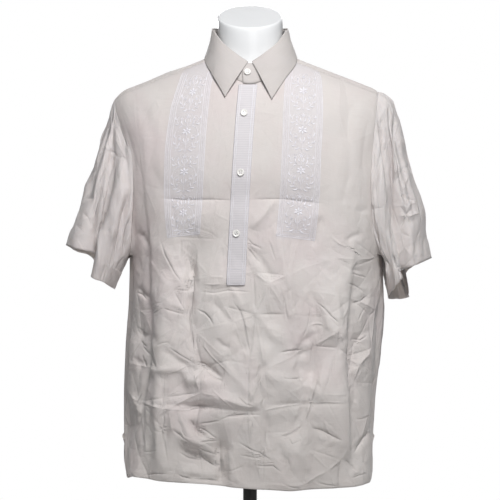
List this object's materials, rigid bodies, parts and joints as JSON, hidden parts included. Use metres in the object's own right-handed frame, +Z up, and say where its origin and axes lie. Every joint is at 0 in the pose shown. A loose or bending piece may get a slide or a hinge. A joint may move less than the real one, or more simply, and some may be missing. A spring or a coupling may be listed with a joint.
{
  "type": "barong tagalog shirt on a dress form",
  "caption": "Short-sleeved pullover barong tagalog in pale plain-woven cloth with a pointed collar, embroidered half placket and side vents, worn on a glossy limbless dress form on a pole",
  "frame": {"origin": "centre of the round base's underside, on the surface that the form stands on", "axes": "+Z up; the shirt's front faces -Y; +X is to the right as seen from the front, which is the wearer's left"},
  "size_m": [0.6638, 0.33, 1.1071],
  "materials": {
    "cloth": "fine plain weave, crumpled",
    "collar_cloth": "fine plain weave, interlined",
    "placket_cloth": "ribbed with embroidered borders",
    "button": "polished",
    "form": "glossy",
    "stand_metal": "satin black"
  },
  "bodies": {
    "root": {"shirt_front": "cloth", "shirt_back": "cloth", "yoke": "cloth", "sleeve_left": "cloth", "sleeve_right": "cloth", "collar_leaf": "collar_cloth", "collar_stand": "collar_cloth", "placket": "placket_cloth", "button_1": "button", "button_2": "button", "button_3": "button", "button_4": "button", "form_torso": "form", "form_flange": "stand_metal", "form_pole": "stand_metal", "form_collar": "stand_metal", "form_base": "stand_metal"}
  },
  "joints": []
}
